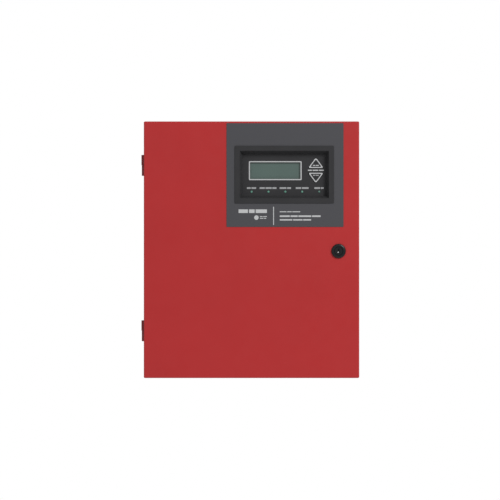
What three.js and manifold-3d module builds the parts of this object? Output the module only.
// Wall-mounted fire alarm control panel: a folded steel cabinet, a lift-off hinged door
// with a moulded display window and a cam lock, and the electronics, transformer and
// batteries inside. Millimetres, +Z up. The wall is the plane Y = 0 and the front faces -Y;
// the origin is the centre of the cabinet's back, on the wall.

import * as THREE from 'three';
import { mergeVertices } from 'three/addons/utils/BufferGeometryUtils.js';
import Module from 'manifold-3d';

const wasm = await Module();
wasm.setup();

// ---------------------------------------------------------------- driving dimensions

// Overall
const DOOR_WIDTH = 324;
const DOOR_HEIGHT = 386;
const OVERALL_DEPTH = 110;          // wall to the door's outer face
const SHEET = 1.2;                  // cabinet and door steel

// Clearances
const SEAT = 0.1;                   // between pieces that rest on each other
const DOOR_SIDE_CLEARANCE = 1.8;    // door flange to cabinet side wall
const DOOR_END_CLEARANCE = 1.3;     // door flange to cabinet top and bottom
const DOOR_BACK_CLEARANCE = 2.8;    // door's inner face to the cabinet's front lips
const DISPLAY_CLEARANCE = 1;        // rear rim of the bezel to the display faceplate
const KEY_CLEARANCE = 0.35;
const PIPE_CLEARANCE = 0.2;

// Cabinet
const LIP_WIDTH = 11;               // front return lips
const KEYHOLE_HEAD_RADIUS = 5;
const KEYHOLE_SLOT_RADIUS = 2.8;
const KEYHOLE_RISE = 10;
const FIXING_SPACING_X = 200;
const FIXING_INSET_Z = 34;          // fixing rows, from the cabinet's top and bottom
const SCREW_HOLE_RADIUS = 3;
const KNOCKOUT_RADIUS = 11;
const KNOCKOUT_SLIT = 0.8;
const KNOCKOUT_TIE_ANGLE = 0.35;    // half angle of each of its two ties, radians
const KNOCKOUT_PITCH = 62;

// Door
const FLANGE_DEPTH = 18;
const BEND_RADIUS = 2;

// Label and display window, placed from the door's right and top edges
const LABEL_WIDTH = 175.8;
const LABEL_HEIGHT = 155.9;
const LABEL_THICKNESS = 0.5;
const LABEL_RADIUS = 1;
const LABEL_FROM_RIGHT = 23.8;
const LABEL_FROM_TOP = 2.8;
const DISPLAY_FROM_RIGHT = 112.8;   // to the window's centre
const DISPLAY_FROM_TOP = 80.1;
const BEZEL_WIDTH = 149.2;
const BEZEL_HEIGHT = 86.5;
const BEZEL_RADIUS = 1.5;
const BEZEL_EDGE = 0.4;             // softened front edge of the flange
const BEZEL_PROUD = 1;
const BEZEL_WALL = 2;
const BEZEL_BODY_CLEARANCE = 0.5;   // bezel body in the door's cut-out
const RECESS_WIDTH = 133.9;         // bezel opening at its front
const RECESS_HEIGHT = 71.2;
const RECESS_RADIUS = 1;
const RECESS_TAPER = 4;             // each side closes in by this much towards the back
const RECESS_DEPTH = 10.3;

// Display unit
const FACEPLATE = 2;
const HOUSING_WIDTH = 142;
const HOUSING_HEIGHT = 80;
const HOUSING_DEPTH = 22;
const HOUSING_WALL = 2;
const WINDOW_WIDTH = 76;
const WINDOW_HEIGHT = 25;
const WINDOW_X = -13.4;             // from the display's centre
const WINDOW_Z = 6.5;
const WINDOW_RADIUS = 0.8;
const LCD_FRAME_HEIGHT = 40;
const LCD_FRAME_DEPTH = 7.6;
const LCD_FRAME_SKIN = 1;
const LCD_FRAME_WALL = 1.5;
const LCD_TO_KEY = 0.7;             // frame's right edge to the keys' flanges
const LCD_BOARD_OVERHANG = 1;       // board past each end of the frame
const LCD_BOARD_HEIGHT = 60;
const LCD_BOARD_RISE = 0.5;         // board's centre above the window's
const BOARD = 1.6;                  // circuit board thickness
const KEY_X = 47.9;
const KEY_WIDTH = 24;
const KEY_HEIGHT = 16.2;
const KEY_RADIUS = 3.6;
const KEY_PROUD = 1.2;
const KEY_TRAVEL = 0.7;
const KEY_FLANGE = 1.2;             // retaining rim round each key, and its thickness
const KEY_STEM_RADIUS = 2;
const KEY_UP_BASE_Z = 10.3;
const KEY_DOWN_BASE_Z = 3.4;
const PIPE_COUNT = 5;
const PIPE_PITCH = 25.5;
const PIPE_CENTRE_X = 1.8;
const PIPE_Z = -25.3;
const PIPE_RADIUS = 1.7;
const PIPE_PROUD = 0.3;

// Hinges
const HINGE_Z = [128, -123];        // split between the halves, from the door's centre
const HINGE_HALF_LENGTH = 15.8;
const DOOR_KNUCKLE_RADIUS = 3.9;
const BODY_KNUCKLE_RADIUS = 3.3;
const HINGE_PIN_RADIUS = 1.5;
const HINGE_PIN_CLEARANCE = 0.2;
const HINGE_LEAF = 1.1;
const HINGE_AXIS_OUTSET = 1.3;      // pin axis outside the door's side face
const HINGE_AXIS_SETBACK = 4;       // pin axis behind the flange's rear edge

// Lock
const LOCK_FROM_RIGHT = 31.2;
const LOCK_BELOW_CENTRE = 2;
const LOCK_HEAD_RADIUS = 10.8;
const LOCK_HEAD_HEIGHT = 3.4;
const LOCK_BARREL_RADIUS = 9.4;
const LOCK_BARREL_LENGTH = 16;
const LOCK_HOLE_CLEARANCE = 0.2;
const LOCK_PLUG_RADIUS = 6.4;
const LOCK_PLUG_CLEARANCE = 0.2;
const LOCK_NUT_FLATS = 23;
const LOCK_NUT_THICKNESS = 4;
const CAM_WIDTH = 14;
const CAM_THICKNESS = 2;
const CAM_REACH = 26;
const CAM_LIP_GAP = 1.3;            // cam's tip behind the cabinet's lip

// Inside
const CHASSIS_HEIGHT = 225;
const CHASSIS_WIDTH = 205;
const CHASSIS_RISE = 12;            // chassis front above the back panel
const CHASSIS_FOOT = 12;
const CHASSIS_FROM_RIGHT = 14.8;    // chassis to the cabinet's right inner wall
const CHASSIS_FROM_TOP = 39.3;
const STANDOFF_HEIGHT = 6.7;
const STANDOFF_RADIUS = 3;
const STANDOFF_INSET = 5;
const MAIN_BOARD_WIDTH = 195;
const MAIN_BOARD_HEIGHT = 130;
const MAIN_BOARD_FROM_BATTERY = 27; // board's lower edge above the batteries' lids
const TERMINAL_COUNT = 4;
const TERMINAL_POLES = 8;
const POLE_PITCH = 5.08;
const TERMINAL_GAP = 6;
const BATTERY = [151, 65, 94];      // width, depth, height of the case
const BATTERY_GAP = 3;
const BATTERY_FROM_BACK = 2;
const BATTERY_TAB = [6.3, 0.8, 6];
const BATTERY_TAB_INSET = 11.5;
const BATTERY_BAR_HEIGHT = 25;
const CORE = [35, 70, 84];          // transformer stack, height off the panel, length
const CORE_LEG = 14;
const WINDING_BULGE = 12;
const LEAD_RADIUS = 1.6;

// ---------------------------------------------------------------- derived places

const FACE_Y = -OVERALL_DEPTH;
const DOOR_INNER_Y = FACE_Y + SHEET;
const FLANGE_REAR_Y = FACE_Y + FLANGE_DEPTH;
const CABINET_X = DOOR_WIDTH / 2 - SHEET - DOOR_SIDE_CLEARANCE;
const CABINET_Z = DOOR_HEIGHT / 2 - SHEET - DOOR_END_CLEARANCE;
const CABINET_FRONT_Y = DOOR_INNER_Y + DOOR_BACK_CLEARANCE;
const LIP_REAR_Y = CABINET_FRONT_Y + SHEET;
const INNER_X = CABINET_X - SHEET;
const INNER_Z = CABINET_Z - SHEET;
const LIP_EDGE_X = CABINET_X - LIP_WIDTH;
const LIP_EDGE_Z = CABINET_Z - LIP_WIDTH;
const BACK_Y = -SHEET;

const DISPLAY_X = DOOR_WIDTH / 2 - DISPLAY_FROM_RIGHT;
const DISPLAY_Z = DOOR_HEIGHT / 2 - DISPLAY_FROM_TOP;
const LABEL_FRONT_Y = FACE_Y - SEAT - LABEL_THICKNESS;
const BEZEL_FRONT_Y = LABEL_FRONT_Y - SEAT - BEZEL_PROUD;
const BEZEL_REAR_Y = BEZEL_FRONT_Y + RECESS_DEPTH;
const FACEPLATE_FRONT_Y = BEZEL_REAR_Y + DISPLAY_CLEARANCE;
const FACEPLATE_REAR_Y = FACEPLATE_FRONT_Y + FACEPLATE;
const HOUSING_FRONT_Y = FACEPLATE_REAR_Y + SEAT;
const HOUSING_REAR_Y = HOUSING_FRONT_Y + HOUSING_DEPTH;
const LCD_FRONT_Y = FACEPLATE_REAR_Y + 2 * SEAT;
const LCD_FRAME_WIDTH = 2 * (KEY_X - KEY_WIDTH / 2 - KEY_FLANGE - LCD_TO_KEY - WINDOW_X);
const LCD_BOARD_WIDTH = LCD_FRAME_WIDTH + 2 * LCD_BOARD_OVERHANG;
const LCD_BOARD_FRONT_Y = LCD_FRONT_Y + LCD_FRAME_DEPTH + SEAT;
const LCD_SPACER = 3.2;
const DISPLAY_BOARD_FRONT_Y = LCD_BOARD_FRONT_Y + BOARD + LCD_SPACER + SEAT;

const HINGE_AXIS_X = -DOOR_WIDTH / 2 - HINGE_AXIS_OUTSET;
const HINGE_AXIS_Y = FLANGE_REAR_Y + HINGE_AXIS_SETBACK;

const LOCK_X = DOOR_WIDTH / 2 - LOCK_FROM_RIGHT;
const LOCK_Z = -LOCK_BELOW_CENTRE;

const CHASSIS_RIGHT = INNER_X - CHASSIS_FROM_RIGHT;
const CHASSIS_LEFT = CHASSIS_RIGHT - CHASSIS_WIDTH;
const CHASSIS_X = (CHASSIS_LEFT + CHASSIS_RIGHT) / 2;
const CHASSIS_TOP = INNER_Z - CHASSIS_FROM_TOP;
const CHASSIS_FRONT_Y = BACK_Y - SEAT - CHASSIS_RISE;
const BATTERY_TOP = -INNER_Z + SEAT + BATTERY[2];
const MAIN_BOARD_Z = BATTERY_TOP + MAIN_BOARD_FROM_BATTERY + MAIN_BOARD_HEIGHT / 2;
const MAIN_BOARD_REAR_Y = CHASSIS_FRONT_Y - STANDOFF_HEIGHT - SEAT;
const MAIN_BOARD_FRONT_Y = MAIN_BOARD_REAR_Y - BOARD;
const LEFT_BAY_X = (-INNER_X + CHASSIS_LEFT - CHASSIS_FOOT) / 2;

// ---------------------------------------------------------------- geometry helpers

function toSolid(geometry) {
  const bare = geometry.clone();
  bare.deleteAttribute('normal');
  bare.deleteAttribute('uv');
  const merged = mergeVertices(bare, 1e-4);
  return new wasm.Manifold(new wasm.Mesh({
    numProp: 3,
    vertProperties: new Float32Array(merged.attributes.position.array),
    triVerts: new Uint32Array(merged.index.array),
  }));
}

function toGeometry(solid) {
  const mesh = solid.getMesh();
  const geometry = new THREE.BufferGeometry();
  geometry.setAttribute('position', new THREE.BufferAttribute(new Float32Array(mesh.vertProperties), 3));
  geometry.setIndex(new THREE.BufferAttribute(new Uint32Array(mesh.triVerts), 1));
  geometry.computeVertexNormals();
  return geometry;
}

function cut(base, ...tools) {
  return toGeometry(tools.reduce((solid, tool) => solid.subtract(toSolid(tool)), toSolid(base)));
}

function join(...pieces) {
  return toGeometry(pieces.map(toSolid).reduce((solid, piece) => solid.add(piece)));
}

function span(centre, size) {
  return [centre - size / 2, centre + size / 2];
}

function block([x0, x1], [y0, y1], [z0, z1]) {
  const geometry = new THREE.BoxGeometry(x1 - x0, y1 - y0, z1 - z0);
  return geometry.translate((x0 + x1) / 2, (y0 + y1) / 2, (z0 + z1) / 2);
}

function roundedRect(width, height, radius, [x, z] = [0, 0]) {
  const [w, h] = [width / 2 - radius, height / 2 - radius];
  const shape = new THREE.Shape();
  shape.absarc(x + w, z + h, radius, 0, Math.PI / 2);
  shape.absarc(x - w, z + h, radius, Math.PI / 2, Math.PI);
  shape.absarc(x - w, z - h, radius, Math.PI, 1.5 * Math.PI);
  shape.absarc(x + w, z - h, radius, 1.5 * Math.PI, 2 * Math.PI);
  shape.closePath();
  return shape;
}

function circle(radius, [x, z] = [0, 0]) {
  const shape = new THREE.Shape();
  shape.absarc(x, z, radius, 0, 2 * Math.PI);
  return shape;
}

function polygon(points) {
  return new THREE.Shape(points.map(([a, b]) => new THREE.Vector2(a, b)));
}

// A polygon with each corner softened by a curve that starts `radius` from it.
function softPolygon(points, radius) {
  const corners = points.map(([a, b]) => new THREE.Vector2(a, b));
  const shape = new THREE.Shape();
  corners.forEach((corner, index) => {
    const before = corners[(index + corners.length - 1) % corners.length];
    const after = corners[(index + 1) % corners.length];
    const start = before.clone().sub(corner).setLength(radius).add(corner);
    const end = after.clone().sub(corner).setLength(radius).add(corner);
    if (index === 0) {
      shape.moveTo(start.x, start.y);
    } else {
      shape.lineTo(start.x, start.y);
    }
    shape.quadraticCurveTo(corner.x, corner.y, end.x, end.y);
  });
  shape.closePath();
  return shape;
}

// Extrudes shapes drawn in two axes along the third: the basis columns say where the
// shape's own x, y and the extrusion run.
function extrude(shape, [from, to], basis, options = {}) {
  const geometry = new THREE.ExtrudeGeometry(shape, {
    depth: to - from,
    bevelEnabled: false,
    curveSegments: 4,
    ...options,
  });
  geometry.translate(0, 0, from);
  return geometry.applyMatrix4(basis);
}

const X = new THREE.Vector3(1, 0, 0);
const Y = new THREE.Vector3(0, 1, 0);
const Z = new THREE.Vector3(0, 0, 1);
const FRONT_BASIS = new THREE.Matrix4().makeBasis(X, Z, Y.clone().negate());
const SIDE_BASIS = new THREE.Matrix4().makeBasis(Y, Z, X);
const PLAN_BASIS = new THREE.Matrix4();

// A shape seen from the front (x right, z up), from front face y0 back to y1.
function frontPlate(shape, [y0, y1], options) {
  return extrude(shape, [-y1, -y0], FRONT_BASIS, options);
}

// A profile in y and z, run along x.
function alongX(points, range) {
  return extrude(polygon(points), range, SIDE_BASIS);
}

// A profile in x and y, run along z.
function alongZ(points, range) {
  return extrude(polygon(points), range, PLAN_BASIS);
}

function rodY(radius, [y0, y1], [x, z] = [0, 0], segments = 16) {
  const geometry = new THREE.CylinderGeometry(radius, radius, y1 - y0, segments);
  return geometry.translate(x, (y0 + y1) / 2, z);
}

function rodZ(radius, [z0, z1], [x, y] = [0, 0], segments = 24) {
  const geometry = new THREE.CylinderGeometry(radius, radius, z1 - z0, segments);
  return geometry.rotateX(Math.PI / 2).translate(x, y, (z0 + z1) / 2);
}

function turned(points, segments) {
  const profile = points.map(([radius, y]) => new THREE.Vector2(radius, y));
  return new THREE.LatheGeometry(profile, segments);
}

// A wire of round section along a smooth curve through hand-chosen points.
function wire(points, radius, steps) {
  const curve = new THREE.CatmullRomCurve3(points.map((point) => new THREE.Vector3(...point)));
  const sides = 6;
  const ring = Array.from({ length: sides }, (_, index) => {
    const angle = (2 * Math.PI * index) / sides;
    return [radius * Math.cos(angle), radius * Math.sin(angle)];
  });
  return new THREE.ExtrudeGeometry(polygon(ring), { steps, extrudePath: curve });
}

// ---------------------------------------------------------------- materials

function finish(color, roughness, metalness = 0) {
  return new THREE.MeshStandardMaterial({ color, roughness, metalness });
}

const redPaint = () => finish(0xb2393a, 0.42);
const darkRedPaint = () => finish(0x7c3536, 0.5);
const greyLabel = () => finish(0x505053, 0.6);
const blackMoulding = () => finish(0x3a3a3c, 0.6);
const zincSteel = () => finish(0xa9adb0, 0.4, 0.9);
const lockBlack = () => finish(0x2d2e2f, 0.35, 0.3);
const greenBoard = () => finish(0x2f6b45, 0.5);
const greenPlastic = () => finish(0x3d8f5a, 0.5);
const lightPipe = () => finish(0x69967f, 0.3);
const lcdGlass = () => finish(0x586964, 0.15);
const brass = () => finish(0xb08d4a, 0.35, 0.9);
const batteryPlastic = () => finish(0x55585c, 0.5);
const ironCore = () => finish(0x4b4b4e, 0.55, 0.7);
const copperTape = () => finish(0xc9a53c, 0.5);
const aluminium = () => finish(0x2a2b2d, 0.5, 0.6);
const redWire = () => finish(0xb02a24, 0.5);
const blackWire = () => finish(0x202022, 0.5);
const greyRibbon = () => finish(0x9a9da0, 0.6);
const clearGlass = () => finish(0xdfe6e6, 0.05);

const panel = new THREE.Group();
const display = new THREE.Group();
display.position.set(DISPLAY_X, 0, DISPLAY_Z);
panel.add(display);

function add(parent, name, geometry, material, [x, y, z] = [0, 0, 0]) {
  const mesh = new THREE.Mesh(geometry, material);
  mesh.name = name;
  mesh.position.set(x, y, z);
  parent.add(mesh);
  return mesh;
}

// ---------------------------------------------------------------- cabinet

// The two curved slits of one knockout, drawn about (a, b).
function knockoutSlits([a, b]) {
  return [0, Math.PI].map((turn) => {
    const from = turn + KNOCKOUT_TIE_ANGLE;
    const to = turn + Math.PI - KNOCKOUT_TIE_ANGLE;
    const slit = new THREE.Shape();
    slit.absarc(a, b, KNOCKOUT_RADIUS + KNOCKOUT_SLIT, from, to);
    slit.absarc(a, b, KNOCKOUT_RADIUS, to, from, true);
    slit.closePath();
    return slit;
  });
}

const THROUGH = 3;                  // how far a cutting tool runs past a face

function sideKnockouts(sideX) {
  const centreY = CABINET_FRONT_Y / 2;
  return [0, KNOCKOUT_PITCH].flatMap((drop) =>
    knockoutSlits([centreY, INNER_Z - KNOCKOUT_PITCH / 2 - drop]).map((slit) =>
      extrude(slit, span(sideX, THROUGH), SIDE_BASIS)));
}

function endKnockouts(endZ, count) {
  const centreY = CABINET_FRONT_Y / 2;
  return Array.from({ length: count }, (_, index) => (index - (count - 1) / 2) * KNOCKOUT_PITCH)
    .flatMap((x) => knockoutSlits([x, centreY]).map((slit) =>
      extrude(slit, span(endZ, THROUGH), PLAN_BASIS)));
}

const FIXING_TOP_Z = CABINET_Z - FIXING_INSET_Z;

// Round head below, narrow slot above, so the cabinet drops onto its screws.
function keyhole(x) {
  const range = span(BACK_Y / 2, THROUGH);
  return join(
    rodY(KEYHOLE_HEAD_RADIUS, range, [x, FIXING_TOP_Z], 20),
    rodY(KEYHOLE_SLOT_RADIUS, range, [x, FIXING_TOP_Z + KEYHOLE_RISE], 16),
    block(span(x, 2 * KEYHOLE_SLOT_RADIUS), range, [FIXING_TOP_Z, FIXING_TOP_Z + KEYHOLE_RISE]),
  );
}

function cabinetShell() {
  const profile = [
    [LIP_EDGE_X, CABINET_FRONT_Y], [CABINET_X, CABINET_FRONT_Y], [CABINET_X, 0],
    [-CABINET_X, 0], [-CABINET_X, CABINET_FRONT_Y], [-LIP_EDGE_X, CABINET_FRONT_Y],
    [-LIP_EDGE_X, LIP_REAR_Y], [-INNER_X, LIP_REAR_Y], [-INNER_X, BACK_Y],
    [INNER_X, BACK_Y], [INNER_X, LIP_REAR_Y], [LIP_EDGE_X, LIP_REAR_Y],
  ];
  const fixings = [-FIXING_SPACING_X / 2, FIXING_SPACING_X / 2];
  return cut(
    alongZ(profile, [-CABINET_Z, CABINET_Z]),
    ...fixings.map(keyhole),
    ...fixings.map((x) =>
      rodY(SCREW_HOLE_RADIUS, span(BACK_Y / 2, THROUGH), [x, -FIXING_TOP_Z], 16)),
    ...sideKnockouts(CABINET_X - SHEET / 2),
    ...sideKnockouts(-CABINET_X + SHEET / 2),
  );
}

// The top or bottom sheet with its front lip; side is +1 for the top, -1 for the bottom.
function cabinetEnd(side, knockouts) {
  const zRange = (a, b) => (side > 0 ? [a, b] : [-b, -a]);
  const betweenLips = LIP_EDGE_X - SEAT;
  const sheet = block(
    [-INNER_X + SEAT, INNER_X - SEAT], [LIP_REAR_Y + SEAT, BACK_Y - SEAT], zRange(INNER_Z, CABINET_Z));
  const nose = block([-betweenLips, betweenLips],
    [CABINET_FRONT_Y, LIP_REAR_Y + THROUGH], zRange(INNER_Z, CABINET_Z));
  const lip = block([-betweenLips, betweenLips],
    [CABINET_FRONT_Y, LIP_REAR_Y], zRange(LIP_EDGE_Z, CABINET_Z));
  return cut(join(sheet, nose, lip), ...endKnockouts(side * (CABINET_Z - SHEET / 2), knockouts));
}

add(panel, 'cabinet_shell', cabinetShell(), redPaint());
add(panel, 'cabinet_top', cabinetEnd(1, 3), redPaint());
add(panel, 'cabinet_bottom', cabinetEnd(-1, 2), redPaint());

// ---------------------------------------------------------------- door

const CUTOUT_WIDTH = RECESS_WIDTH + 2 * (BEZEL_WALL + BEZEL_BODY_CLEARANCE);
const CUTOUT_HEIGHT = RECESS_HEIGHT + 2 * (BEZEL_WALL + BEZEL_BODY_CLEARANCE);
const CUTOUT_RADIUS = RECESS_RADIUS + BEZEL_WALL;
const cutout = () => roundedRect(CUTOUT_WIDTH, CUTOUT_HEIGHT, CUTOUT_RADIUS, [DISPLAY_X, DISPLAY_Z]);

function doorPanel() {
  const cornerRadius = 0.6;
  const flat = roundedRect(DOOR_WIDTH - 2 * BEND_RADIUS, DOOR_HEIGHT - 2 * BEND_RADIUS, cornerRadius);
  const pan = frontPlate(flat, [FACE_Y + BEND_RADIUS, FLANGE_REAR_Y + BEND_RADIUS], {
    bevelEnabled: true,
    bevelSize: BEND_RADIUS,
    bevelThickness: BEND_RADIUS,
    bevelSegments: 4,
    curveSegments: 3,
  });
  return cut(
    pan,
    block([-DOOR_WIDTH, DOOR_WIDTH], [FLANGE_REAR_Y, 0], [-DOOR_HEIGHT, DOOR_HEIGHT]),
    block(span(0, DOOR_WIDTH - 2 * SHEET), [DOOR_INNER_Y, 0], span(0, DOOR_HEIGHT - 2 * SHEET)),
    frontPlate(cutout(), [FACE_Y - THROUGH, DOOR_INNER_Y + THROUGH]),
    rodY(LOCK_BARREL_RADIUS + LOCK_HOLE_CLEARANCE,
      [FACE_Y - THROUGH, DOOR_INNER_Y + THROUGH], [LOCK_X, LOCK_Z], 32),
  );
}

function doorLabel() {
  const centreX = DOOR_WIDTH / 2 - LABEL_FROM_RIGHT - LABEL_WIDTH / 2;
  const centreZ = DOOR_HEIGHT / 2 - LABEL_FROM_TOP - LABEL_HEIGHT / 2;
  const sheet = roundedRect(LABEL_WIDTH, LABEL_HEIGHT, LABEL_RADIUS, [centreX, centreZ]);
  sheet.holes.push(cutout());
  return frontPlate(sheet, [LABEL_FRONT_Y, FACE_Y - SEAT]);
}

// A rounded block whose rear is smaller than its front by `taper` on every side.
function funnel(width, height, radius, taper, [yFront, yBack]) {
  const geometry = frontPlate(roundedRect(width, height, radius), [yFront, yBack]);
  const position = geometry.attributes.position;
  const middle = (yFront + yBack) / 2;
  for (let index = 0; index < position.count; index += 1) {
    if (position.getY(index) > middle) {
      position.setX(index, position.getX(index) * (1 - (2 * taper) / width));
      position.setZ(index, position.getZ(index) * (1 - (2 * taper) / height));
    }
  }
  return geometry;
}

const HOOK = {
  width: 10,
  thickness: 2,
  gap: 0.3,                         // behind the door's sheet
  reach: 1.3,                       // past the cut-out's edge
  root: 4,                          // inside the cut-out's edge
  side: 0.3 * RECESS_WIDTH,         // from the window's centre
};

function displayBezel() {
  const edge = BEZEL_EDGE;
  const flange = frontPlate(
    roundedRect(BEZEL_WIDTH - 2 * edge, BEZEL_HEIGHT - 2 * edge, BEZEL_RADIUS - edge),
    [BEZEL_FRONT_Y + edge, BEZEL_FRONT_Y + BEZEL_PROUD],
    { bevelEnabled: true, bevelSize: edge, bevelThickness: edge, bevelSegments: 2 },
  );
  const flangeBack = block(span(0, 2 * BEZEL_WIDTH),
    [BEZEL_FRONT_Y + BEZEL_PROUD, BEZEL_REAR_Y], span(0, 2 * BEZEL_HEIGHT));
  const outer = funnel(RECESS_WIDTH + 2 * BEZEL_WALL, RECESS_HEIGHT + 2 * BEZEL_WALL,
    CUTOUT_RADIUS, RECESS_TAPER, [BEZEL_FRONT_Y + edge, BEZEL_REAR_Y]);
  const bore = funnel(RECESS_WIDTH, RECESS_HEIGHT, RECESS_RADIUS,
    RECESS_TAPER, [BEZEL_FRONT_Y, BEZEL_REAR_Y]);
  const mouth = frontPlate(roundedRect(RECESS_WIDTH, RECESS_HEIGHT, RECESS_RADIUS),
    [BEZEL_FRONT_Y - THROUGH, BEZEL_FRONT_Y]);
  const inset = 2 * RECESS_TAPER;
  const exit = frontPlate(roundedRect(RECESS_WIDTH - inset, RECESS_HEIGHT - inset, RECESS_RADIUS),
    [BEZEL_REAR_Y - SEAT, BEZEL_REAR_Y + THROUGH]);
  // Snap hooks catch behind the door's sheet, above and below the cut-out.
  const hooks = [-1, 1].flatMap((side) => [-1, 1].map((end) => {
    const tip = CUTOUT_HEIGHT / 2 + HOOK.reach;
    const root = CUTOUT_HEIGHT / 2 - HOOK.root;
    const front = DOOR_INNER_Y + HOOK.gap;
    return block(span(end * HOOK.side, HOOK.width), [front, front + HOOK.thickness],
      side > 0 ? [root, tip] : [-tip, -root]);
  }));
  return cut(join(cut(flange, flangeBack), outer, ...hooks), mouth, bore, exit);
}

add(panel, 'door_panel', doorPanel(), redPaint());
add(panel, 'door_label', doorLabel(), greyLabel());
add(display, 'display_bezel', displayBezel(), blackMoulding());

// ---------------------------------------------------------------- hinges

const DOOR_LEAF_LENGTH = 16;
const BODY_LEAF_LENGTH = 24;
const HINGE_PIN_SHORT = 2;          // pin's tip below the top of the upper half

function doorHinge() {
  const height = [SEAT, HINGE_HALF_LENGTH];
  const leafRight = DOOR_KNUCKLE_RADIUS;
  const leaf = block([leafRight - HINGE_LEAF, leafRight], [-DOOR_LEAF_LENGTH, 0], height);
  const bore = rodZ(HINGE_PIN_RADIUS + HINGE_PIN_CLEARANCE, [-THROUGH, HINGE_HALF_LENGTH + THROUGH]);
  return cut(join(rodZ(DOOR_KNUCKLE_RADIUS, height), leaf), bore);
}

// The lower half carries the pin, so the door lifts off upwards.
function bodyHinge() {
  const height = [-HINGE_HALF_LENGTH, -SEAT];
  const wallX = -CABINET_X - SEAT - HINGE_AXIS_X;
  const leaf = block([wallX - HINGE_LEAF, wallX], [0, BODY_LEAF_LENGTH], height);
  const bridge = block([0, wallX], [0, HINGE_LEAF], height);
  const pin = rodZ(HINGE_PIN_RADIUS, [-HINGE_HALF_LENGTH, HINGE_HALF_LENGTH - HINGE_PIN_SHORT]);
  return join(rodZ(BODY_KNUCKLE_RADIUS, height), leaf, bridge, pin);
}

['upper', 'lower'].forEach((place, index) => {
  const at = [HINGE_AXIS_X, HINGE_AXIS_Y, HINGE_Z[index]];
  add(panel, `door_hinge_${place}`, doorHinge(), darkRedPaint(), at);
  add(panel, `cabinet_hinge_${place}`, bodyHinge(), darkRedPaint(), at);
});

// ---------------------------------------------------------------- lock

const LOCK_REAR = LOCK_BARREL_LENGTH;         // from the door's face, backwards
const PLUG_FRONT = -LOCK_HEAD_HEIGHT + 0.5;   // plug a little below the head's face
const SHANK = 3.2;                            // half width of the plug's square shank
const SHANK_PAST_CAM = 0.6;
const KEYWAY = [1.6, 4, 8];                   // width, depth, height
const CAM_HUB = 8;                            // cam above the lock's axis
const CAM_STEP_START = -LOCK_BARREL_RADIUS - 1.5;
const CAM_STEP_END = CAM_STEP_START - 3.5;
const CAM_SCREW = { washerRadius: 6, washer: 1, headRadius: 4, topRadius: 3, shoulder: 2.6, height: 3.4 };
const CAM_TIP_Y = LIP_REAR_Y + CAM_LIP_GAP - FACE_Y;

function lockBody() {
  const bevel = 1.2;
  const crown = [LOCK_HEAD_RADIUS - 0.35, -LOCK_HEAD_HEIGHT + 0.45];
  const bore = LOCK_PLUG_RADIUS + LOCK_PLUG_CLEARANCE;
  const underHead = -SEAT;
  return turned([
    [bore, -LOCK_HEAD_HEIGHT], [LOCK_HEAD_RADIUS - bevel, -LOCK_HEAD_HEIGHT],
    crown, [LOCK_HEAD_RADIUS, -LOCK_HEAD_HEIGHT + bevel],
    [LOCK_HEAD_RADIUS, underHead], [LOCK_BARREL_RADIUS, underHead],
    [LOCK_BARREL_RADIUS, LOCK_REAR], [bore, LOCK_REAR], [bore, -LOCK_HEAD_HEIGHT],
  ], 32);
}

function lockNut() {
  const y = [SHEET + SEAT, SHEET + SEAT + LOCK_NUT_THICKNESS];
  const acrossCorners = LOCK_NUT_FLATS / Math.cos(Math.PI / 6) / 2;
  return cut(rodY(acrossCorners, y, [0, 0], 6),
    rodY(LOCK_BARREL_RADIUS + SEAT, [0, LOCK_REAR], [0, 0], 32));
}

function lockPlug() {
  const [width, depth, height] = KEYWAY;
  const keyway = block(span(0, width), [PLUG_FRONT - THROUGH, PLUG_FRONT + depth], span(0, height));
  const shankEnd = LOCK_REAR + CAM_THICKNESS + SHANK_PAST_CAM;
  const shank = block(span(0, 2 * SHANK), [LOCK_REAR - 1, shankEnd], span(0, 2 * SHANK));
  return cut(join(rodY(LOCK_PLUG_RADIUS, [PLUG_FRONT, LOCK_REAR], [0, 0], 32), shank), keyway);
}

// The cam hangs down when unlocked; its arm steps forward to lie behind the cabinet's lip.
function lockCam() {
  const near = LOCK_REAR + SEAT;
  const bend = CAM_THICKNESS / 2;
  const tip = -CAM_REACH;
  const arm = alongX([
    [near, CAM_HUB], [near, CAM_STEP_START], [CAM_TIP_Y, CAM_STEP_END], [CAM_TIP_Y, tip],
    [CAM_TIP_Y + CAM_THICKNESS, tip], [CAM_TIP_Y + CAM_THICKNESS, CAM_STEP_END - bend],
    [near + CAM_THICKNESS, CAM_STEP_START - bend], [near + CAM_THICKNESS, CAM_HUB],
  ], span(0, CAM_WIDTH));
  const hole = SHANK + PIPE_CLEARANCE;
  return cut(arm, block([-hole, hole], [near - THROUGH, near + THROUGH + CAM_THICKNESS], [-hole, hole]));
}

function camScrew() {
  const front = LOCK_REAR + CAM_THICKNESS + SHANK_PAST_CAM + SEAT;
  const { washerRadius, washer, headRadius, topRadius, shoulder, height } = CAM_SCREW;
  return turned([
    [0, front], [washerRadius, front], [washerRadius, front + washer], [headRadius, front + washer],
    [headRadius, front + shoulder], [topRadius, front + height], [0, front + height],
  ], 16);
}

const lock = new THREE.Group();
lock.position.set(LOCK_X, FACE_Y, LOCK_Z);
panel.add(lock);
add(lock, 'lock_body', lockBody(), lockBlack());
add(lock, 'lock_nut', lockNut(), zincSteel());
add(lock, 'lock_plug', lockPlug(), lockBlack());
add(lock, 'lock_cam', lockCam(), zincSteel());
add(lock, 'cam_screw', camScrew(), zincSteel());

// ---------------------------------------------------------------- display unit

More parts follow.
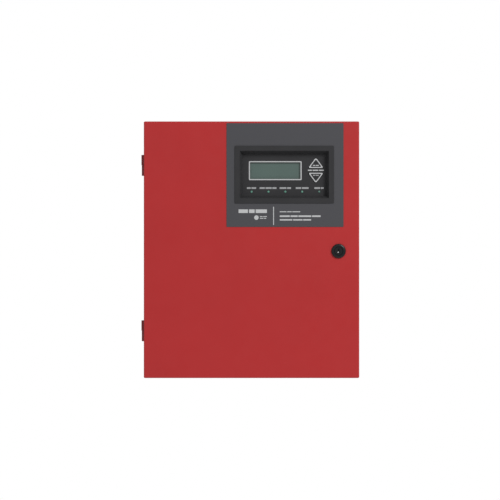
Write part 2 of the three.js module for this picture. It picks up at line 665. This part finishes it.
// Corners of a key's triangle, grown by `margin` on every side; tip is +1 up, -1 down.
function keyTriangle(tip, margin) {
  const side = Math.hypot(KEY_WIDTH / 2, KEY_HEIGHT);
  const inner = (KEY_WIDTH * KEY_HEIGHT) / (KEY_WIDTH + 2 * side);
  const grow = (inner + margin) / inner;
  const base = tip > 0 ? KEY_UP_BASE_Z : KEY_DOWN_BASE_Z;
  const corners = [[-KEY_WIDTH / 2, 0], [KEY_WIDTH / 2, 0], [0, KEY_HEIGHT]];
  const placed = corners.map(([x, h]) =>
    [KEY_X + x * grow, base + tip * (inner + (h - inner) * grow)]);
  return { shape: softPolygon(placed, KEY_RADIUS * grow), middle: [KEY_X, base + tip * inner] };
}

const pipePlaces = Array.from({ length: PIPE_COUNT }, (_, index) =>
  [PIPE_CENTRE_X + (index - (PIPE_COUNT - 1) / 2) * PIPE_PITCH, PIPE_Z]);

const HOUSING_RADIUS = 3;

function displayFaceplate() {
  const plate = roundedRect(HOUSING_WIDTH, HOUSING_HEIGHT, HOUSING_RADIUS);
  plate.holes.push(roundedRect(WINDOW_WIDTH, WINDOW_HEIGHT, WINDOW_RADIUS, [WINDOW_X, WINDOW_Z]));
  [1, -1].forEach((tip) => plate.holes.push(keyTriangle(tip, KEY_CLEARANCE).shape));
  pipePlaces.forEach((place) => plate.holes.push(circle(PIPE_RADIUS + PIPE_CLEARANCE, place)));
  return frontPlate(plate, [FACEPLATE_FRONT_Y, FACEPLATE_REAR_Y]);
}

const SCREW_POST_RADIUS = 2.6;
const SCREW_POST_INSET = 3;         // post's centre inside the housing's wall
const BOARD_POST_RADIUS = 3;
const BOARD_POST_INSET = [5, 4];
const POST_X = HOUSING_WIDTH / 2 - HOUSING_WALL - SCREW_POST_INSET;
const POST_Z = HOUSING_HEIGHT / 2 - HOUSING_WALL - SCREW_POST_INSET;
const DISPLAY_BOARD_WIDTH = 2 * POST_X - 8;
const DISPLAY_BOARD_HEIGHT = HOUSING_HEIGHT - 2 * HOUSING_WALL - 2;
const RIBBON_WIDTH = 26;
const RIBBON_SLOT_MARGIN = 4;
const RIBBON_EXIT_Z = -HOUSING_HEIGHT / 2 + 8;

function displayHousing() {
  const outer = roundedRect(HOUSING_WIDTH, HOUSING_HEIGHT, HOUSING_RADIUS);
  const hollow = block(span(0, HOUSING_WIDTH - 2 * HOUSING_WALL),
    [HOUSING_FRONT_Y - THROUGH, HOUSING_REAR_Y - HOUSING_WALL], span(0, HOUSING_HEIGHT - 2 * HOUSING_WALL));
  const ribbonSlot = block(span(0, RIBBON_WIDTH + RIBBON_SLOT_MARGIN),
    [HOUSING_REAR_Y - THROUGH, HOUSING_REAR_Y + THROUGH], span(RIBBON_EXIT_Z, RIBBON_SLOT_MARGIN));
  const corners = [-1, 1].flatMap((sideX) => [-1, 1].map((sideZ) => [sideX, sideZ]));
  const floorY = HOUSING_REAR_Y - HOUSING_WALL / 2;
  const screwPosts = corners.map(([sideX, sideZ]) =>
    rodY(SCREW_POST_RADIUS, [HOUSING_FRONT_Y, floorY], [sideX * POST_X, sideZ * POST_Z], 8));
  const boardPosts = corners.map(([sideX, sideZ]) =>
    rodY(BOARD_POST_RADIUS, [DISPLAY_BOARD_FRONT_Y + BOARD + SEAT, floorY], [
      sideX * (DISPLAY_BOARD_WIDTH / 2 - BOARD_POST_INSET[0]),
      sideZ * (DISPLAY_BOARD_HEIGHT / 2 - BOARD_POST_INSET[1]),
    ], 8));
  const tray = cut(frontPlate(outer, [HOUSING_FRONT_Y, HOUSING_REAR_Y]), hollow, ribbonSlot);
  return join(tray, ...screwPosts, ...boardPosts);
}

function lcdFrame() {
  const rear = LCD_FRONT_Y + LCD_FRAME_DEPTH;
  const wall = 2 * LCD_FRAME_WALL;
  const margin = 2;                 // frame's opening past the faceplate's window
  return cut(
    block(span(WINDOW_X, LCD_FRAME_WIDTH), [LCD_FRONT_Y, rear], span(WINDOW_Z, LCD_FRAME_HEIGHT)),
    block(span(WINDOW_X, LCD_FRAME_WIDTH - wall), [LCD_FRONT_Y + LCD_FRAME_SKIN, rear + THROUGH],
      span(WINDOW_Z, LCD_FRAME_HEIGHT - wall)),
    block(span(WINDOW_X, WINDOW_WIDTH + margin), [LCD_FRONT_Y - THROUGH, rear],
      span(WINDOW_Z, WINDOW_HEIGHT + margin)),
  );
}

function lcdGlassBlock() {
  const inset = 2 * LCD_FRAME_WALL + 1;
  const front = LCD_FRONT_Y + LCD_FRAME_SKIN + SEAT;
  return block(span(WINDOW_X, LCD_FRAME_WIDTH - inset), [front, LCD_FRONT_Y + LCD_FRAME_DEPTH - SEAT],
    span(WINDOW_Z, LCD_FRAME_HEIGHT - inset));
}

function lcdBoard() {
  const centreZ = WINDOW_Z + LCD_BOARD_RISE;
  const rear = LCD_BOARD_FRONT_Y + BOARD;
  const spacerRadius = 2;
  const spacerX = LCD_BOARD_WIDTH / 2 - 1.5 * spacerRadius;
  const spacerZ = LCD_BOARD_HEIGHT / 2 - 1.5 * spacerRadius;
  const board = block(span(WINDOW_X, LCD_BOARD_WIDTH), [LCD_BOARD_FRONT_Y, rear],
    span(centreZ, LCD_BOARD_HEIGHT));
  const spacers = [-1, 1].flatMap((sideX) => [-1, 1].map((sideZ) =>
    rodY(spacerRadius, [rear - BOARD / 2, rear + LCD_SPACER],
      [WINDOW_X + sideX * spacerX, centreZ + sideZ * spacerZ], 10)));
  return join(board, ...spacers);
}

const SWITCH = { height: 4, button: 0.8, width: 6, buttonRadius: 1.7 };
const STEM_GAP = 0.2;               // stem to its switch at the end of the travel
const DIODE = { height: 0.8, radius: 1.4 };
const KEY_STEM_END_Y = DISPLAY_BOARD_FRONT_Y - SWITCH.height - KEY_TRAVEL - STEM_GAP;

// The board with its two push switches and five light-emitting diodes soldered on.
function displayBoard() {
  const rear = DISPLAY_BOARD_FRONT_Y + BOARD;
  const sink = DISPLAY_BOARD_FRONT_Y + BOARD / 2;
  const switches = [1, -1].flatMap((tip) => {
    const [x, z] = keyTriangle(tip, 0).middle;
    const top = DISPLAY_BOARD_FRONT_Y - SWITCH.height;
    return [
      block(span(x, SWITCH.width), [top + SWITCH.button, sink], span(z, SWITCH.width)),
      rodY(SWITCH.buttonRadius, [top, sink], [x, z], 10),
    ];
  });
  const diodes = pipePlaces.map((place) =>
    rodY(DIODE.radius, [DISPLAY_BOARD_FRONT_Y - DIODE.height, sink], place, 10));
  return join(
    block(span(0, DISPLAY_BOARD_WIDTH), [DISPLAY_BOARD_FRONT_Y, rear], span(0, DISPLAY_BOARD_HEIGHT)),
    ...switches, ...diodes,
  );
}

function indicatorLightPipes() {
  const thickness = 1.1;
  const overhang = 3;               // bar past the end pipes
  const barRear = DISPLAY_BOARD_FRONT_Y - DIODE.height - SEAT;
  const barFront = barRear - thickness;
  const bar = block(span(PIPE_CENTRE_X, (PIPE_COUNT - 1) * PIPE_PITCH + 2 * overhang),
    [barFront, barRear], span(PIPE_Z, 2 * (PIPE_RADIUS - SEAT)));
  const pipes = pipePlaces.map((place) =>
    rodY(PIPE_RADIUS, [FACEPLATE_FRONT_Y - PIPE_PROUD, (barFront + barRear) / 2], place, 12));
  return join(bar, ...pipes);
}

function key(tip) {
  const front = FACEPLATE_FRONT_Y - KEY_PROUD;
  const flangeFront = FACEPLATE_REAR_Y + SEAT;
  const flangeMiddle = flangeFront + 0.5;
  const { shape: cap, middle } = keyTriangle(tip, 0);
  return join(
    frontPlate(cap, [front, flangeMiddle]),
    frontPlate(keyTriangle(tip, KEY_FLANGE).shape, [flangeFront, flangeFront + KEY_FLANGE]),
    rodY(KEY_STEM_RADIUS, [flangeMiddle, KEY_STEM_END_Y], middle, 12),
  );
}

// A Z-section bracket that carries one side of the display on the chassis; side is -1 or +1.
const BRACKET = { height: 56, foot: 15, tab: 13, fromSide: 11, hole: 28 };

function displayBracket(side) {
  const foot = CHASSIS_FRONT_Y - SEAT;
  const tab = HOUSING_REAR_Y + SEAT;
  const web = HOUSING_WIDTH / 2 - BRACKET.fromSide;
  const footEnd = web + BRACKET.foot;
  const tabEnd = web - BRACKET.tab;
  const points = [
    [web, foot], [footEnd, foot], [footEnd, foot - SHEET], [web + SHEET, foot - SHEET],
    [web + SHEET, tab], [tabEnd, tab], [tabEnd, tab + SHEET], [web, tab + SHEET],
  ].map(([x, y]) => [side * x, y]);
  const cableHole = block(span(side * web, 2 * THROUGH + 2), span((foot + tab) / 2, BRACKET.hole),
    span(0, BRACKET.hole));
  return cut(alongZ(points, span(0, BRACKET.height)), cableHole);
}

add(display, 'display_faceplate', displayFaceplate(), blackMoulding());
add(display, 'display_housing', displayHousing(), blackMoulding());
add(display, 'lcd_frame', lcdFrame(), zincSteel());
add(display, 'lcd_glass', lcdGlassBlock(), lcdGlass());
add(display, 'lcd_board', lcdBoard(), greenBoard());
add(display, 'display_board', displayBoard(), greenBoard());
add(display, 'indicator_light_pipes', indicatorLightPipes(), lightPipe());
add(display, 'key_up', key(1), blackMoulding());
add(display, 'key_down', key(-1), blackMoulding());
add(display, 'display_bracket_left', displayBracket(-1), zincSteel());
add(display, 'display_bracket_right', displayBracket(1), zincSteel());

// ---------------------------------------------------------------- chassis and main board

const boardCorners = [-1, 1].flatMap((sideX) => [-1, 1].map((sideZ) => [
  CHASSIS_X + sideX * (MAIN_BOARD_WIDTH / 2 - STANDOFF_INSET),
  MAIN_BOARD_Z + sideZ * (MAIN_BOARD_HEIGHT / 2 - STANDOFF_INSET),
]));

// A raised plate on two side feet, with four pressed-in standoffs for the main board.
function chassisPlate() {
  const seat = BACK_Y - SEAT;
  const foot = seat - SHEET;
  const under = CHASSIS_FRONT_Y + SHEET;
  const [left, right] = [CHASSIS_LEFT, CHASSIS_RIGHT];
  const hat = alongZ([
    [left - CHASSIS_FOOT, seat], [left + SHEET, seat], [left + SHEET, under],
    [right - SHEET, under], [right - SHEET, seat], [right + CHASSIS_FOOT, seat],
    [right + CHASSIS_FOOT, foot], [right, foot], [right, CHASSIS_FRONT_Y],
    [left, CHASSIS_FRONT_Y], [left, foot], [left - CHASSIS_FOOT, foot],
  ], [CHASSIS_TOP - CHASSIS_HEIGHT, CHASSIS_TOP]);
  return join(hat, ...boardCorners.map((place) =>
    rodY(STANDOFF_RADIUS, [CHASSIS_FRONT_Y - STANDOFF_HEIGHT, CHASSIS_FRONT_Y + SHEET / 2], place, 12)));
}

const BOARD_LEFT = CHASSIS_X - MAIN_BOARD_WIDTH / 2;
const BOARD_RIGHT = CHASSIS_X + MAIN_BOARD_WIDTH / 2;
const BOARD_TOP = MAIN_BOARD_Z + MAIN_BOARD_HEIGHT / 2;
const BOARD_BOTTOM = MAIN_BOARD_Z - MAIN_BOARD_HEIGHT / 2;
const PARTS_REAR_Y = MAIN_BOARD_FRONT_Y - SEAT;
const BOARD_SCREW_RADIUS = 1.7;
const RIBBON_HEADER_Z = BOARD_TOP - 14;
const RIBBON_HEADER = { proud: 8, height: 8, margin: 4 };
const RIBBON_HEADER_FRONT_Y = MAIN_BOARD_FRONT_Y - RIBBON_HEADER.proud;
const LEAD_HEADER = { proud: 9, width: 10, height: 16 };
const POWER_HEADER = [BOARD_LEFT + 12, BOARD_BOTTOM + 34];
const SUPPLY_HEADER = [BOARD_LEFT + 12, BOARD_TOP - 30];

// The bare board with its soldered ribbon and power headers.
function mainBoard() {
  const board = roundedRect(MAIN_BOARD_WIDTH, MAIN_BOARD_HEIGHT, 2, [CHASSIS_X, MAIN_BOARD_Z]);
  boardCorners.forEach((place) => board.holes.push(circle(BOARD_SCREW_RADIUS, place)));
  const sink = MAIN_BOARD_FRONT_Y + BOARD / 2;
  const ribbonHeader = block(span(DISPLAY_X, RIBBON_WIDTH + RIBBON_HEADER.margin),
    [RIBBON_HEADER_FRONT_Y, sink], span(RIBBON_HEADER_Z, RIBBON_HEADER.height));
  const powerHeaders = [POWER_HEADER, SUPPLY_HEADER].map(([x, z]) =>
    block(span(x, LEAD_HEADER.width), [MAIN_BOARD_FRONT_Y - LEAD_HEADER.proud, sink],
      span(z, LEAD_HEADER.height)));
  return join(frontPlate(board, [MAIN_BOARD_FRONT_Y, MAIN_BOARD_REAR_Y]), ribbonHeader, ...powerHeaders);
}

// A plug-in terminal block: screws face the front, wires enter from below.
const TERMINAL_LENGTH = TERMINAL_POLES * POLE_PITCH + 1;
const WIRE_ENTRY = [3.4, 4.2, 7];   // width, depth and height of each wire's hole
const TERMINAL_SCREW = { radius: 1.7, depth: 1.6, rise: 5.6 };

function terminalBlock() {
  const [height, depth, step] = [16, 13, 5];
  const [entryWidth, entryDepth, entryHeight] = WIRE_ENTRY;
  const body = alongX([
    [0, 0], [0, height], [-depth + step, height], [-depth, height - step], [-depth, 0],
  ], span(0, TERMINAL_LENGTH));
  const poles = Array.from({ length: TERMINAL_POLES }, (_, index) =>
    (index - (TERMINAL_POLES - 1) / 2) * POLE_PITCH);
  const entries = poles.map((x) =>
    block(span(x, entryWidth), span(-depth / 2, entryDepth), [-THROUGH, entryHeight]));
  const screws = poles.map((x) => rodY(TERMINAL_SCREW.radius,
    [-depth - THROUGH, -depth + TERMINAL_SCREW.depth], [x, TERMINAL_SCREW.rise], 8));
  return cut(body, ...entries, ...screws);
}

function relay() {
  const [width, height, depth, radius] = [29, 13, 15.5, 1];
  return frontPlate(roundedRect(width, height, radius), [-depth, 0]);
}

// A modular jack whose mouth faces up, over the board's top edge.
function jack([width, height, depth]) {
  const wall = 2;
  const base = 3;
  const latchWidth = 5;
  const body = block(span(0, width), [-depth, 0], [-height, 0]);
  const mouth = block(span(0, width - 2 * wall), [-depth + wall, -base], [-height + 2 * wall, THROUGH]);
  const latch = block(span(0, latchWidth), [-depth - THROUGH, -depth + base], [-height + 3 * wall, THROUGH]);
  return cut(body, mouth, latch);
}

function capacitor() {
  const [radius, height] = [9, 34];
  const shoulder = 1.2;
  const [grooveZ, grooveWidth, grooveDepth] = [5, 2, 0.8];
  return turned([
    [0, -height], [radius - shoulder, -height], [radius, -height + shoulder],
    [radius, -grooveZ - grooveWidth / 2], [radius - grooveDepth, -grooveZ],
    [radius, -grooveZ + grooveWidth / 2], [radius, 0], [0, 0],
  ], 16);
}

function sounder() {
  const [radius, height, shoulder] = [8, 8.5, 1];
  const [portRadius, portDepth] = [1.6, 3];
  return turned([
    [0, -height + portDepth], [portRadius, -height + portDepth], [portRadius, -height],
    [radius - shoulder, -height], [radius, -height + shoulder], [radius, 0], [0, 0],
  ], 16);
}

function heatSink() {
  const [width, height, depth, base, fins, fin] = [42, 30, 24, 3, 7, 1.6];
  const pitch = (width - fin) / (fins - 1);
  const points = [[width / 2, 0], [-width / 2, 0]];
  for (let index = 0; index < fins; index += 1) {
    const left = -width / 2 + index * pitch;
    points.push([left, -depth], [left + fin, -depth]);
    if (index < fins - 1) {
      points.push([left + fin, -base], [left + pitch, -base]);
    }
  }
  return alongZ(points, span(0, height));
}

add(panel, 'chassis_plate', chassisPlate(), zincSteel());
add(panel, 'main_board', mainBoard(), greenBoard());

// A row of equal components along x: how many, the first one's centre, and the step to the next.
function row(count, [x, z], pitch) {
  return Array.from({ length: count }, (_, index) => [x + index * pitch, PARTS_REAR_Y, z]);
}

const LINE_JACK = [14, 16, 13];     // width, height, depth
const NETWORK_JACK = [16.5, 20, 14];
const terminalPitch = TERMINAL_LENGTH + TERMINAL_GAP;
const firstTerminal = [CHASSIS_X - ((TERMINAL_COUNT - 1) / 2) * terminalPitch, BOARD_BOTTOM + 2];

row(TERMINAL_COUNT, firstTerminal, terminalPitch).forEach((place, index) => {
  add(panel, `terminal_block_${index + 1}`, terminalBlock(), greenPlastic(), place);
});
row(3, [BOARD_RIGHT - 26, BOARD_BOTTOM + 34], -36).forEach((place, index) => {
  add(panel, `relay_${index + 1}`, relay(), blackMoulding(), place);
});
row(2, [BOARD_RIGHT - 16, BOARD_TOP], -18).forEach((place, index) => {
  add(panel, `line_jack_${index + 1}`, jack(LINE_JACK), blackMoulding(), place);
});
row(2, [BOARD_LEFT + 38, BOARD_TOP - 40], 22).forEach((place, index) => {
  add(panel, `capacitor_${index + 1}`, capacitor(), blackMoulding(), place);
});
add(panel, 'network_jack', jack(NETWORK_JACK), zincSteel(), [BOARD_RIGHT - 55, PARTS_REAR_Y, BOARD_TOP]);
add(panel, 'sounder', sounder(), blackMoulding(), [BOARD_RIGHT - 22, PARTS_REAR_Y, BOARD_TOP - 42]);
add(panel, 'heat_sink', heatSink(), aluminium(), [BOARD_LEFT + 50, PARTS_REAR_Y, BOARD_BOTTOM + 52]);

// The flat cable folds from the main board's header into the display's rear slot.
function ribbonCable() {
  const half = 0.45;                // half the cable's thickness
  const slotZ = DISPLAY_Z + RIBBON_EXIT_Z;
  const start = RIBBON_HEADER_FRONT_Y - 0.6;
  const end = DISPLAY_BOARD_FRONT_Y + BOARD + 0.5;
  const curve = new THREE.CatmullRomCurve3([
    [start, RIBBON_HEADER_Z], [start - 6, RIBBON_HEADER_Z], [start - 18, RIBBON_HEADER_Z + 8],
    [HOUSING_REAR_Y + 12, slotZ - 5], [HOUSING_REAR_Y + 3, slotZ], [end, slotZ],
  ].map(([y, z]) => new THREE.Vector3(0, y, z)));
  const steps = 18;
  const upper = [];
  const lower = [];
  for (let index = 0; index <= steps; index += 1) {
    const point = curve.getPoint(index / steps);
    const run = curve.getTangent(index / steps);
    upper.push([point.y - run.z * half, point.z + run.y * half]);
    lower.unshift([point.y + run.z * half, point.z - run.y * half]);
  }
  return alongX([...upper, ...lower], span(0, RIBBON_WIDTH));
}

add(panel, 'ribbon_cable', ribbonCable(), greyRibbon(), [DISPLAY_X, 0, 0]);

// ---------------------------------------------------------------- power supply

const TRANSFORMER_Z = BOARD_TOP - 42;
const STRAP = 1.5;
const STRAP_FOOT = 12;
const STRAP_HOLE_RADIUS = 2.2;
const WINDING_HEIGHT = 4 * CORE_LEG - 1;
const WINDING_CORNER = 6;
const WINDING_CLEARANCE = 0.6;      // winding's bore wider than the core's middle leg

// Laminated core standing on the back panel, with a window either side of its middle leg.
function transformerCore() {
  const [stack, height, length] = CORE;
  const window = [height - 2 * CORE_LEG, CORE_LEG];
  const centreY = -SEAT - height / 2;
  return cut(
    block(span(0, stack), [-SEAT - height, -SEAT], span(0, length)),
    ...[-1, 1].map((side) => block(span(0, 2 * stack), span(centreY, window[0]),
      span(side * 1.5 * CORE_LEG, window[1]))),
  );
}

function transformerWinding() {
  const [stack, height] = CORE;
  const centreY = -SEAT - height / 2;
  const outer = roundedRect(stack + 2 * WINDING_BULGE, WINDING_HEIGHT, WINDING_CORNER);
  outer.holes.push(roundedRect(stack + WINDING_CLEARANCE, 2 * CORE_LEG + WINDING_CLEARANCE, 0.5));
  return frontPlate(outer, span(centreY, height - 2 * CORE_LEG - 1));
}

function transformerStrap() {
  const [stack, height, length] = CORE;
  const inner = length / 2 + SEAT;
  const outer = inner + STRAP;
  const over = -2 * SEAT - height;
  const toe = outer + STRAP_FOOT;
  const strap = alongX([
    [-SEAT, inner], [-SEAT, toe], [-SEAT - STRAP, toe], [-SEAT - STRAP, outer],
    [over - STRAP, outer], [over - STRAP, -outer], [-SEAT - STRAP, -outer], [-SEAT - STRAP, -toe],
    [-SEAT, -toe], [-SEAT, -inner], [over, -inner], [over, inner],
  ], span(0, stack - 1));
  return cut(strap, ...[-1, 1].map((side) =>
    rodY(STRAP_HOLE_RADIUS, [-THROUGH, THROUGH], [0, side * (outer + STRAP_FOOT / 2)], 12)));
}

const supply = new THREE.Group();
supply.position.set(LEFT_BAY_X, BACK_Y, TRANSFORMER_Z);
panel.add(supply);
add(supply, 'transformer_core', transformerCore(), ironCore());
add(supply, 'transformer_winding', transformerWinding(), copperTape());
add(supply, 'transformer_strap', transformerStrap(), zincSteel());

const MAINS_BLOCK_Z = TRANSFORMER_Z + CORE[2] / 2 + 44;
const FUSE_Z = MAINS_BLOCK_Z + 32;

// Barrier strip for live, neutral and earth: a base with four upright fins.
const MAINS_BLOCK = { width: 46, height: 22, base: 9, fin: 1.6, finFront: 16, finRear: 4 };

function mainsTerminalBlock() {
  const { width, height, base, fin, finFront, finRear } = MAINS_BLOCK;
  const fins = [-1, -1 / 3, 1 / 3, 1].map((side) =>
    block(span((side * (width - fin)) / 2, fin), [-finFront, -finRear], span(0, height)));
  return join(block(span(0, width), [-base, -SEAT], span(0, height)), ...fins);
}

const FUSE_BASE = [38, 5, 13];      // width, depth, height
const FUSE_CLIP = { side: 8.5, width: 4, height: 8, front: 13, slot: 5.6, slotRear: 7 };
const FUSE = { radius: 2.6, length: 20, rise: 10.2 };

function fuseHolder() {
  const [baseWidth, baseDepth, baseHeight] = FUSE_BASE;
  const { side, width, height, front, slot, slotRear } = FUSE_CLIP;
  const clips = [-side, side].map((x) => cut(
    block(span(x, width), [-front, 1 - baseDepth], span(0, height)),
    block(span(x, width + 2), [-front - 1, -slotRear], span(0, slot)),
  ));
  return join(block(span(0, baseWidth), [-baseDepth, -SEAT], span(0, baseHeight)), ...clips);
}

function fuseLink() {
  const link = rodY(FUSE.radius, span(0, FUSE.length), [0, 0], 16);
  return link.rotateZ(Math.PI / 2).translate(0, -FUSE.rise, 0);
}

// A washer, a nut and the threaded stud through them.
function earthStud() {
  const [washerRadius, washer] = [5.2, 1.2];
  const [nutRadius, nutTop] = [4.6, 5.2];
  const [studRadius, studTop] = [2.4, 16];
  const sink = 1;
  return join(
    rodY(washerRadius, [-washer, -SEAT], [0, 0], 20),
    rodY(nutRadius, [-nutTop, -sink], [0, 0], 6),
    rodY(studRadius, [-studTop, -sink], [0, 0], 12),
  );
}

const inLeftBay = (z) => [LEFT_BAY_X, BACK_Y, z];

add(panel, 'mains_terminal_block', mainsTerminalBlock(), blackMoulding(), inLeftBay(MAINS_BLOCK_Z));
add(panel, 'fuse_holder', fuseHolder(), blackMoulding(), inLeftBay(FUSE_Z));
add(panel, 'fuse', fuseLink(), clearGlass(), inLeftBay(FUSE_Z));
add(panel, 'earth_stud', earthStud(), brass(), [LEFT_BAY_X - 26, BACK_Y, FUSE_Z]);

// ---------------------------------------------------------------- batteries

const BATTERY_BACK_Y = BACK_Y - BATTERY_FROM_BACK;
const BATTERY_FRONT_Y = BATTERY_BACK_Y - BATTERY[1];
const TAB_FROM_FRONT = 14;
const TAB_Y = BATTERY_FRONT_Y + TAB_FROM_FRONT;
const BATTERY_LID = 14;
const BATTERY_LID_STEP = 0.8;       // case inside the lid's edge
const BATTERY_RADIUS = 3;
const BAR_EAR = 16;
const BAR_CLEARANCE = 0.5;          // bar in front of the cases
const BATTERY_X = (BATTERY[0] + BATTERY_GAP) / 2;
const TAB_REACH = BATTERY[0] / 2 - BATTERY_TAB_INSET;
const TAB_TOP = BATTERY_TOP + BATTERY_TAB[2];

// Sealed lead-acid battery: rounded case with a lid line and two upright spade tabs.
function battery() {
  const [width, depth, height] = BATTERY;
  const centreY = -depth / 2;
  const outline = (inset) =>
    roundedRect(width - 2 * inset, depth - 2 * inset, BATTERY_RADIUS - inset, [0, centreY]);
  const lidLine = height - BATTERY_LID;
  const soft = { curveSegments: 3 };
  const lower = extrude(outline(BATTERY_LID_STEP), [0, lidLine + 1], PLAN_BASIS, soft);
  const lid = extrude(outline(0), [lidLine, height], PLAN_BASIS, soft);
  const tabs = [-1, 1].map((side) => block(span(side * TAB_REACH, BATTERY_TAB[0]),
    span(TAB_FROM_FRONT - depth, BATTERY_TAB[1]), [height - 1, height + BATTERY_TAB[2]]));
  return join(lower, lid, ...tabs);
}

function batteryBar() {
  const rear = BATTERY_FRONT_Y - SEAT - BAR_CLEARANCE;
  const front = rear - SHEET;
  const end = INNER_X - SEAT;
  const ear = front - BAR_EAR;
  return alongZ([
    [-end, rear], [end, rear], [end, ear], [end - SHEET, ear], [end - SHEET, front],
    [-end + SHEET, front], [-end + SHEET, ear], [-end, ear],
  ], span(BATTERY_TOP - BATTERY[2] / 2, BATTERY_BAR_HEIGHT));
}

['left', 'right'].forEach((place, index) => {
  const x = (2 * index - 1) * BATTERY_X;
  add(panel, `battery_${place}`, battery(), batteryPlastic(), [x, BATTERY_BACK_Y, BATTERY_TOP - BATTERY[2]]);
});
add(panel, 'battery_retaining_bar', batteryBar(), zincSteel());

// ---------------------------------------------------------------- internal leads

const LEAD_GAP = 0.5;               // a lead's end to what it plugs onto
const SUPPLY_LEAD_RADIUS = 2;
const [powerX, powerZ] = POWER_HEADER;
const [supplyX, supplyZ] = SUPPLY_HEADER;
const headerFront = MAIN_BOARD_FRONT_Y - LEAD_HEADER.proud - LEAD_GAP;
const tabEnd = TAB_TOP + LEAD_GAP;
const outerTab = BATTERY_X + TAB_REACH;
const innerTab = BATTERY_X - TAB_REACH;
const windingX = CORE[0] / 2 + WINDING_BULGE / 2;
const windingTop = TRANSFORMER_Z + WINDING_HEIGHT / 2 + LEAD_GAP;
const windingY = BACK_Y - SEAT - CORE[1] / 2;

add(panel, 'battery_lead_red', wire([
  [powerX + 2.4, headerFront, powerZ - 3], [powerX + 2.4, headerFront - 4, powerZ - 3],
  [powerX + 3, headerFront - 10, powerZ - 8],
  [powerX + 10, -50, BOARD_BOTTOM - 2], [powerX + 50, -50, BOARD_BOTTOM - 8],
  [outerTab - 50, -48, BOARD_BOTTOM - 8], [outerTab - 10, TAB_Y + 2, BOARD_BOTTOM - 8],
  [outerTab, TAB_Y, tabEnd + 5], [outerTab, TAB_Y, tabEnd],
], LEAD_RADIUS, 26), redWire());

add(panel, 'battery_lead_black', wire([
  [powerX - 2.4, headerFront, powerZ - 3], [powerX - 2.4, headerFront - 4, powerZ - 3],
  [powerX - 3, headerFront - 10, powerZ - 8],
  [powerX - 16, -46, BOARD_BOTTOM - 2], [-outerTab + 20, TAB_Y + 2, BOARD_BOTTOM - 6],
  [-outerTab, TAB_Y, tabEnd + 6], [-outerTab, TAB_Y, tabEnd],
], LEAD_RADIUS, 18), blackWire());

add(panel, 'battery_jumper_lead', wire([
  [-innerTab, TAB_Y, tabEnd], [-innerTab, TAB_Y, tabEnd + 4], [-innerTab / 2, TAB_Y, tabEnd + 8],
  [innerTab / 2, TAB_Y, tabEnd + 8], [innerTab, TAB_Y, tabEnd + 4], [innerTab, TAB_Y, tabEnd],
], LEAD_RADIUS, 12), blackWire());

add(panel, 'transformer_primary_lead', wire([
  [LEFT_BAY_X - windingX, windingY, windingTop], [LEFT_BAY_X - windingX, windingY, windingTop + 10],
  [LEFT_BAY_X - windingX + 2, windingY + 12, windingTop + 28],
  [LEFT_BAY_X - 12, BACK_Y - 14, MAINS_BLOCK_Z - 24],
  [LEFT_BAY_X - 12, BACK_Y - 12, MAINS_BLOCK_Z - MAINS_BLOCK.height / 2 - LEAD_GAP],
], SUPPLY_LEAD_RADIUS, 14), blackWire());

add(panel, 'transformer_secondary_lead', wire([
  [LEFT_BAY_X + windingX, windingY, windingTop], [LEFT_BAY_X + windingX, windingY, windingTop + 8],
  [LEFT_BAY_X + windingX + 12, windingY - 4, windingTop + 12],
  [supplyX - 8, headerFront - 14, supplyZ + 2], [supplyX, headerFront - 5, supplyZ],
  [supplyX, headerFront, supplyZ],
], SUPPLY_LEAD_RADIUS, 14), blackWire());

export default panel;
